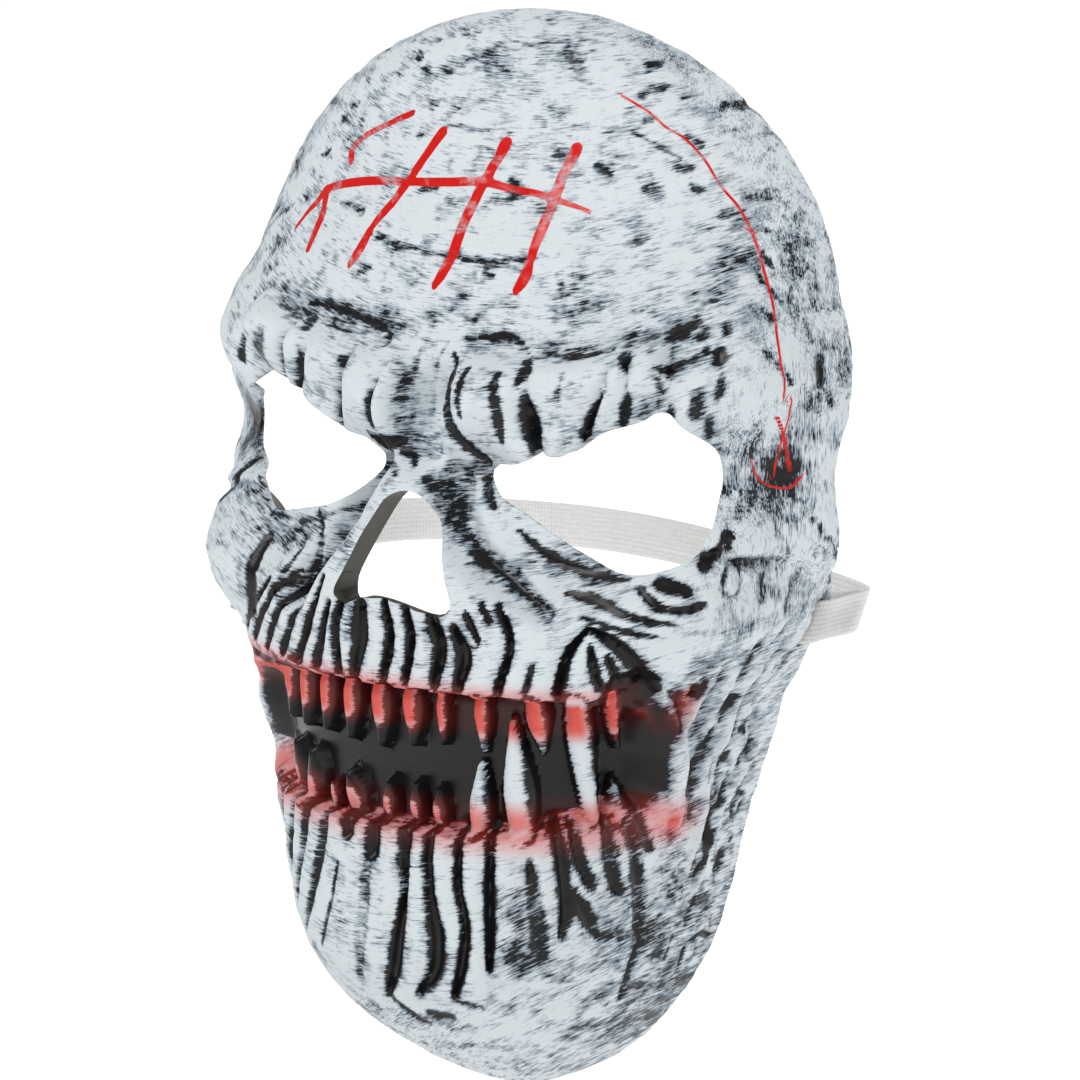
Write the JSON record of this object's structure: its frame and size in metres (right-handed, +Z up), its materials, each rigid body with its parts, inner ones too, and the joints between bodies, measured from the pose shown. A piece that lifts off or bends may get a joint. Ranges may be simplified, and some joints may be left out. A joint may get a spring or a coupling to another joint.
{
  "type": "halloween mask",
  "caption": "Hollow full-face skull mask with bared teeth, open eye and nose holes, and a flat knitted elastic strap through slits at the sides.",
  "frame": {"origin": "middle of the head opening, in the plane of the rim at half the height of the shell", "axes": "+Z up towards the crown, +Y out of the open back, so the face looks along -Y; +X towards the side with the tall lower fang"},
  "size_m": [0.183, 0.1298, 0.272],
  "materials": {
    "painted_shell": "pale paint dry-brushed over a dark base, red at the gums and in the painted scars",
    "knitted_elastic": "flat ribbed knit, undyed off-white"
  },
  "bodies": {
    "root": {"mask_shell": "painted_shell", "elastic_strap": "knitted_elastic"}
  },
  "joints": []
}
